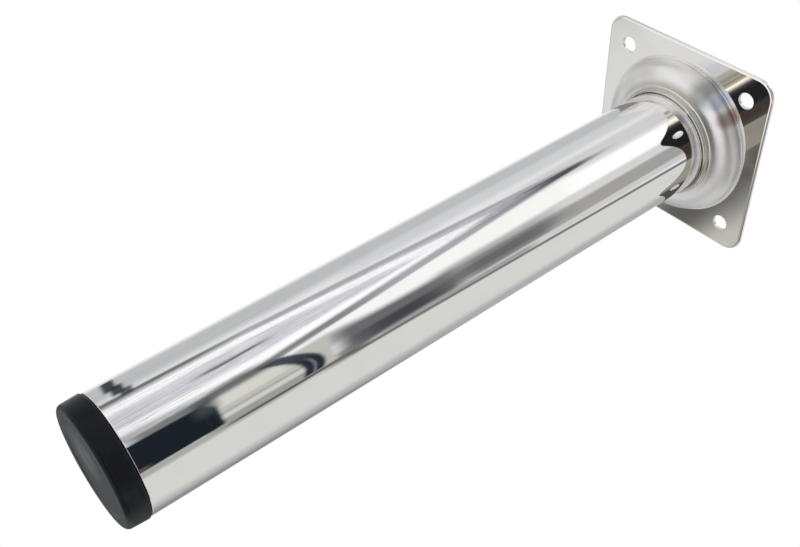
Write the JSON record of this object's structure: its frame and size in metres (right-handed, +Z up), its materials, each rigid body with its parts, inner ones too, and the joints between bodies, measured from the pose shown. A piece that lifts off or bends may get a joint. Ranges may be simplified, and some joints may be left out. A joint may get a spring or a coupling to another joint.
{
  "type": "table leg",
  "caption": "Round polished steel tube table leg with a square bossed mounting plate and a black screw-in levelling foot.",
  "frame": {"origin": "centre of the mounting plate's upper face, which lies against the table", "axes": "+Z up, out of the mounting face; the tube runs down along -Z; X and Y lie along the plate's sides"},
  "size_m": [0.094, 0.094, 0.3125],
  "materials": {
    "plate_steel": "pressed and polished stainless steel, soft mirror",
    "tube_steel": "mirror-polished stainless steel",
    "weld_steel": "weld metal with a light heat tint",
    "plug_plastic": "moulded black nylon",
    "nut_steel": "zinc-plated steel",
    "stud_steel": "zinc-plated steel",
    "foot_plastic": "moulded black plastic, satin"
  },
  "bodies": {
    "leg": {"mounting_plate": "plate_steel", "leg_tube": "tube_steel", "weld_bead": "weld_steel", "tube_plug": "plug_plastic", "hex_nut": "nut_steel"},
    "stud": {"levelling_stud": "stud_steel"},
    "foot": {"foot_cap": "foot_plastic"}
  },
  "joints": [
    {"name": "foot_turn", "type": "hinge", "parent": "stud", "child": "foot", "pos_m": [0, 0, -0.309], "axis": [0, 0, -1], "range_deg": [0, 3600]},
    {"name": "foot_lift", "type": "slide", "parent": "leg", "child": "stud", "axis": [0, 0, -1], "range_m": [0, 0.015]}
  ],
  "couplings": [
    {"joint": "foot_lift", "follows": "foot_turn", "m_per_rad": 0.00023873}
  ]
}
